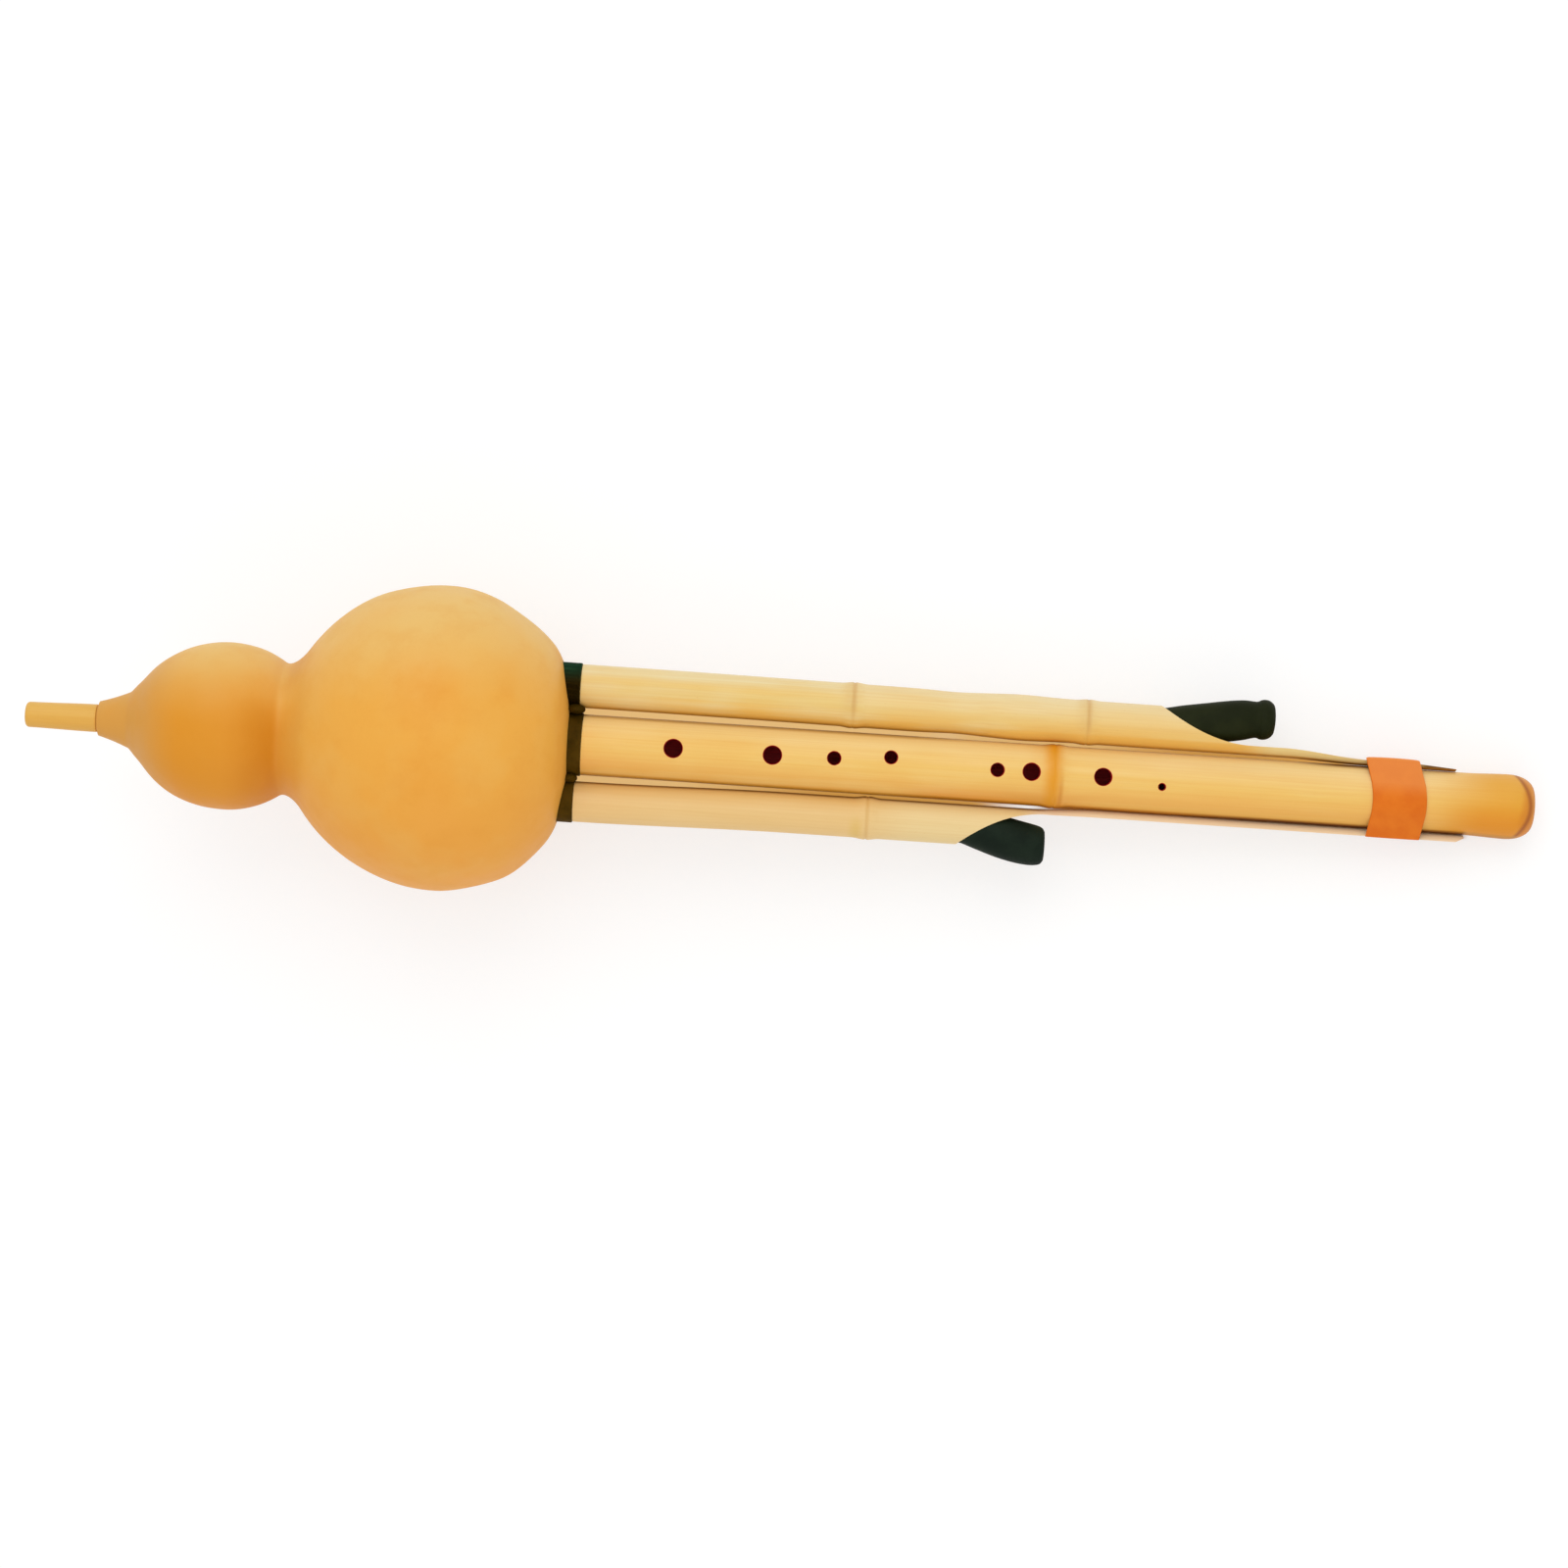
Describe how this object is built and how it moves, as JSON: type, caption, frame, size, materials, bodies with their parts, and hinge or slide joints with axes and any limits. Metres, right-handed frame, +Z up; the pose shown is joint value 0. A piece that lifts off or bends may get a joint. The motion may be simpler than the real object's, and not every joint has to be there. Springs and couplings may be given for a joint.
{
  "type": "hulusi",
  "caption": "Hulusi (gourd flute): hollow gourd, bamboo main pipe with finger holes, two slant-cut bamboo drones with pull-out stoppers, brass free reeds, orange band",
  "frame": {"origin": "Middle of the footprint of the whole flute, on the table that it lies on.", "axes": "+X runs along the pipes to the far end, +Y points to the long drone, +Z up; the finger holes face up and the pipes slope down by 6.45 degrees to the far end."},
  "size_m": [0.4258, 0.0862, 0.0862],
  "materials": {
    "gourd_skin": "satin",
    "bamboo_golden": "satin",
    "bamboo_pale": "satin",
    "dark_rubber": "matte",
    "orange_rubber": "matte",
    "reed_brass": "polished"
  },
  "bodies": {
    "flute": {"gourd_chamber": "gourd_skin", "mouthpiece_tube": "bamboo_golden", "main_pipe": "bamboo_golden", "long_drone_pipe": "bamboo_pale", "short_drone_pipe": "bamboo_pale", "main_collar": "dark_rubber", "long_drone_collar": "dark_rubber", "short_drone_collar": "dark_rubber", "main_reed": "reed_brass", "long_drone_reed": "reed_brass", "short_drone_reed": "reed_brass", "binding_band": "orange_rubber"},
    "long_stopper": {"long_drone_plug": "dark_rubber"},
    "short_stopper": {"short_drone_plug": "dark_rubber"}
  },
  "joints": [
    {"name": "long_stopper_pull", "type": "slide", "parent": "flute", "child": "long_stopper", "axis": [0.9937, 0, -0.1123], "range_m": [0, 0.022]},
    {"name": "short_stopper_pull", "type": "slide", "parent": "flute", "child": "short_stopper", "axis": [0.9937, 0, -0.1123], "range_m": [0, 0.02]}
  ]
}
